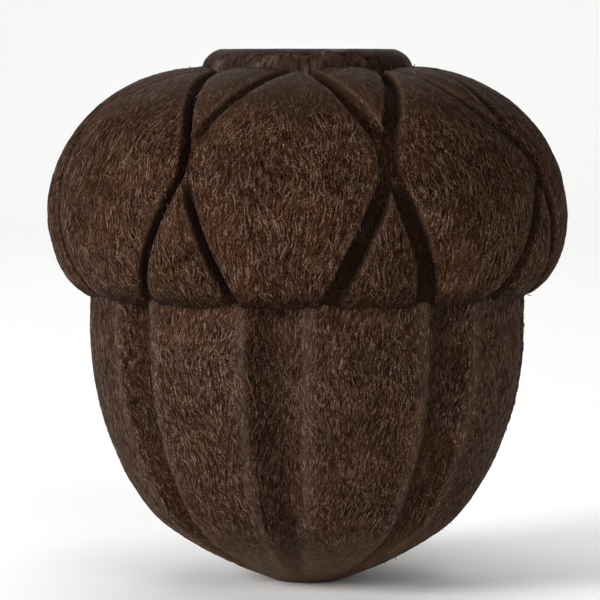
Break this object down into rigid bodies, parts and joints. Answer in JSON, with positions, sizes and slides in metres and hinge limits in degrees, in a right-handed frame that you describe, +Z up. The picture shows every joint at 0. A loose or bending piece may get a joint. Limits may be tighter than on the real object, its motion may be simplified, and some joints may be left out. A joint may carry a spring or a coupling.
{
  "type": "moulded wood-fibre acorn",
  "caption": "Acorn of dark fibrous wood composite: a fluted nut seated in a puffed cap, whose carved grooves leave lozenge panels, with a flat stalk stub on its crown.",
  "frame": {"origin": "middle of the small flat spot at the nut's tip, on the surface that the acorn stands on", "axes": "+Z up along the acorn's axis, from the tip to the stalk stub; -Y through the middle of the front lozenge panel and of the flute below it"},
  "size_m": [0.078, 0.078, 0.08],
  "materials": {
    "nut_fibre": "dark brown wood fibre, matted strands running mostly lengthwise, satin",
    "cap_fibre": "dark brown wood fibre, curled strands over the panels, satin, darker in the grooves",
    "stub_fibre": "dark brown wood fibre, rubbed smoother than the rest"
  },
  "bodies": {
    "root": {"nut": "nut_fibre", "cap": "cap_fibre", "stalk_stub": "stub_fibre"}
  },
  "joints": []
}
